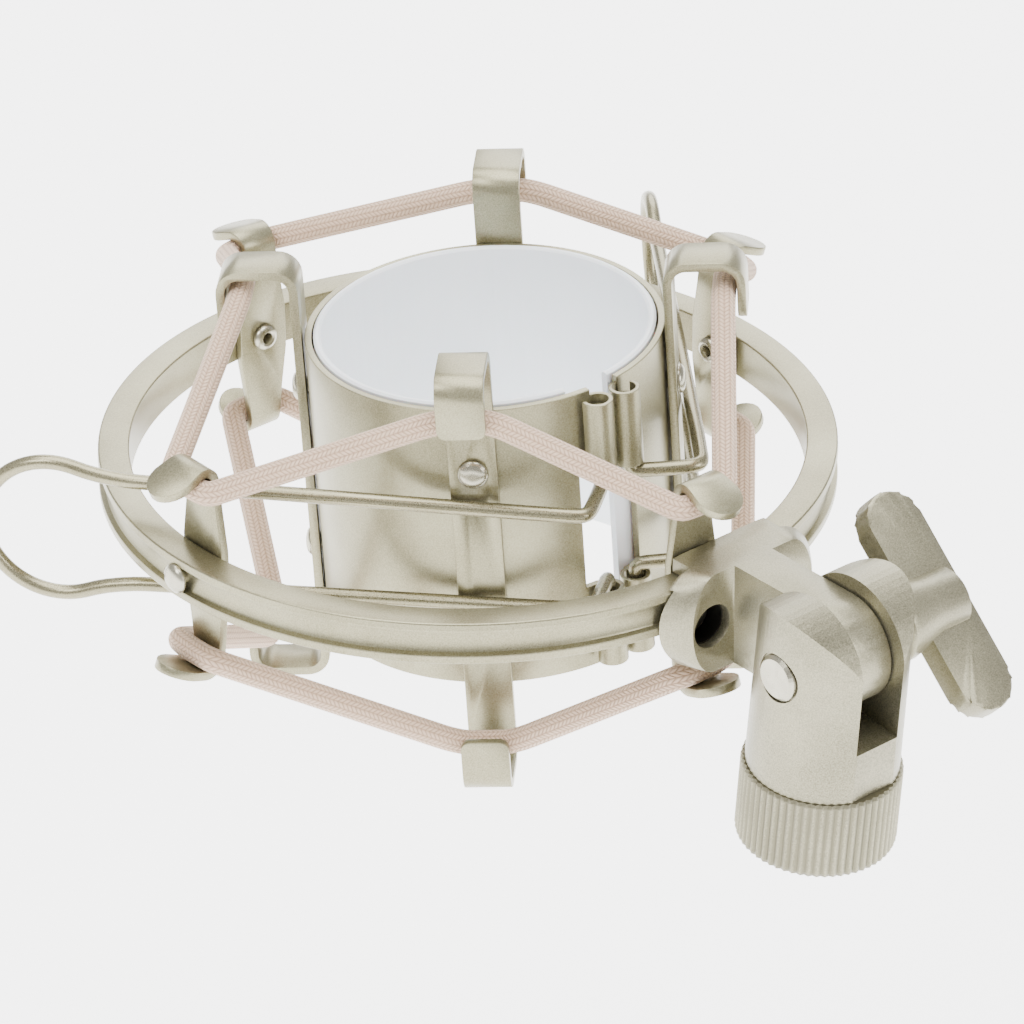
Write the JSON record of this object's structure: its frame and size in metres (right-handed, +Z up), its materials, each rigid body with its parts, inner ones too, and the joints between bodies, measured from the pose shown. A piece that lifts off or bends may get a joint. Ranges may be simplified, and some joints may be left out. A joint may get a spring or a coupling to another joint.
{
  "type": "microphone shock mount",
  "caption": "Elastic-suspended shock mount: split sleeve with wire squeeze handles hung by braided cords inside a metal ring, on a tilting stand swivel.",
  "frame": {"origin": "centre of the mouth of the stand thread, on the swivel's axis", "axes": "+Z up along the swivel, away from the stand; the tilt pin runs along X with the wing nut at +X; the ring lies towards +Y"},
  "size_m": [0.122, 0.1362, 0.07],
  "materials": {
    "swivel_body_mat": "cast, sparkling nickel coloured lacquer",
    "clamp_screw_mat": "plated rivet, slightly shinier",
    "wing_handle_mat": "cast, sparkling nickel coloured lacquer",
    "ring_bracket_mat": "cast, sparkling nickel coloured lacquer",
    "suspension_ring_mat": "satin nickel coloured lacquer on sheet and strip",
    "bracket_screw_left_mat": "plain screw steel",
    "bracket_screw_right_mat": "plain screw steel",
    "outer_strut_front_mat": "satin nickel coloured lacquer on sheet and strip",
    "outer_strut_right_mat": "satin nickel coloured lacquer on sheet and strip",
    "outer_strut_back_mat": "satin nickel coloured lacquer on sheet and strip",
    "outer_strut_left_mat": "satin nickel coloured lacquer on sheet and strip",
    "ring_rivet_front_mat": "plated rivet, slightly shinier",
    "ring_rivet_right_mat": "plated rivet, slightly shinier",
    "ring_rivet_back_mat": "plated rivet, slightly shinier",
    "ring_rivet_left_mat": "plated rivet, slightly shinier",
    "band_upper_mat": "braided elastic cord, herringbone cover",
    "band_lower_mat": "braided elastic cord, herringbone cover",
    "sleeve_mat": "satin nickel coloured lacquer on sheet and strip",
    "liner_mat": "cool white plastic or felt strip",
    "inner_strut_front_left_mat": "satin nickel coloured lacquer on sheet and strip",
    "inner_strut_front_right_mat": "satin nickel coloured lacquer on sheet and strip",
    "inner_strut_back_right_mat": "satin nickel coloured lacquer on sheet and strip",
    "inner_strut_back_left_mat": "satin nickel coloured lacquer on sheet and strip",
    "sleeve_rivet_front_left_upper_mat": "plated rivet, slightly shinier",
    "sleeve_rivet_front_left_lower_mat": "plated rivet, slightly shinier",
    "sleeve_rivet_front_right_upper_mat": "plated rivet, slightly shinier",
    "sleeve_rivet_front_right_lower_mat": "plated rivet, slightly shinier",
    "sleeve_rivet_back_right_upper_mat": "plated rivet, slightly shinier",
    "sleeve_rivet_back_right_lower_mat": "plated rivet, slightly shinier",
    "sleeve_rivet_back_left_upper_mat": "plated rivet, slightly shinier",
    "sleeve_rivet_back_left_lower_mat": "plated rivet, slightly shinier",
    "wire_handle_left_mat": "nickel coloured spring wire",
    "wire_handle_right_mat": "nickel coloured spring wire"
  },
  "bodies": {
    "stand": {"swivel_body": "swivel_body_mat"},
    "clamp": {"clamp_screw": "clamp_screw_mat"},
    "wing": {"wing_handle": "wing_handle_mat"},
    "ring": {"ring_bracket": "ring_bracket_mat", "suspension_ring": "suspension_ring_mat", "bracket_screw_left": "bracket_screw_left_mat", "bracket_screw_right": "bracket_screw_right_mat", "outer_strut_front": "outer_strut_front_mat", "outer_strut_right": "outer_strut_right_mat", "outer_strut_back": "outer_strut_back_mat", "outer_strut_left": "outer_strut_left_mat", "ring_rivet_front": "ring_rivet_front_mat", "ring_rivet_right": "ring_rivet_right_mat", "ring_rivet_back": "ring_rivet_back_mat", "ring_rivet_left": "ring_rivet_left_mat", "band_upper": "band_upper_mat", "band_lower": "band_lower_mat"},
    "sleeve": {"sleeve": "sleeve_mat", "liner": "liner_mat", "inner_strut_front_left": "inner_strut_front_left_mat", "inner_strut_front_right": "inner_strut_front_right_mat", "inner_strut_back_right": "inner_strut_back_right_mat", "inner_strut_back_left": "inner_strut_back_left_mat", "sleeve_rivet_front_left_upper": "sleeve_rivet_front_left_upper_mat", "sleeve_rivet_front_left_lower": "sleeve_rivet_front_left_lower_mat", "sleeve_rivet_front_right_upper": "sleeve_rivet_front_right_upper_mat", "sleeve_rivet_front_right_lower": "sleeve_rivet_front_right_lower_mat", "sleeve_rivet_back_right_upper": "sleeve_rivet_back_right_upper_mat", "sleeve_rivet_back_right_lower": "sleeve_rivet_back_right_lower_mat", "sleeve_rivet_back_left_upper": "sleeve_rivet_back_left_upper_mat", "sleeve_rivet_back_left_lower": "sleeve_rivet_back_left_lower_mat"},
    "handle_left": {"wire_handle_left": "wire_handle_left_mat"},
    "handle_right": {"wire_handle_right": "wire_handle_right_mat"}
  },
  "joints": [
    {"name": "swivel_tilt", "type": "hinge", "parent": "stand", "child": "ring", "pos_m": [0, 0, 0.0286], "axis": [1, 0, 0], "range_deg": [-5, 90]},
    {"name": "wing_turn", "type": "hinge", "parent": "stand", "child": "wing", "pos_m": [0, 0, 0.0286], "axis": [1, 0, 0], "range_deg": [0, 720]},
    {"name": "clamp_travel", "type": "slide", "parent": "stand", "child": "clamp", "axis": [-1, 0, 0], "range_m": [0, 0.002]},
    {"name": "sleeve_float", "type": "slide", "parent": "ring", "child": "sleeve", "axis": [-0.0319, 0.1401, 0.9896], "range_m": [-0.0025, 0.0025], "stiffness_N_per_m": 1500, "deforming": ["band_upper", "band_lower"]},
    {"name": "handle_left_swing", "type": "hinge", "parent": "sleeve", "child": "handle_left", "pos_m": [-0.00477, 0.04269, 0.04756], "axis": [-0.0319, 0.1401, 0.9896], "range_deg": [0, 4]},
    {"name": "handle_right_swing", "type": "hinge", "parent": "sleeve", "child": "handle_right", "pos_m": [-0.00007, 0.0427, 0.0477], "axis": [0.0319, -0.1401, -0.9896], "range_deg": [0, 2]}
  ],
  "couplings": [
    {"joint": "wing_turn", "follows": "clamp_travel", "rad_per_m": 6283}
  ]
}
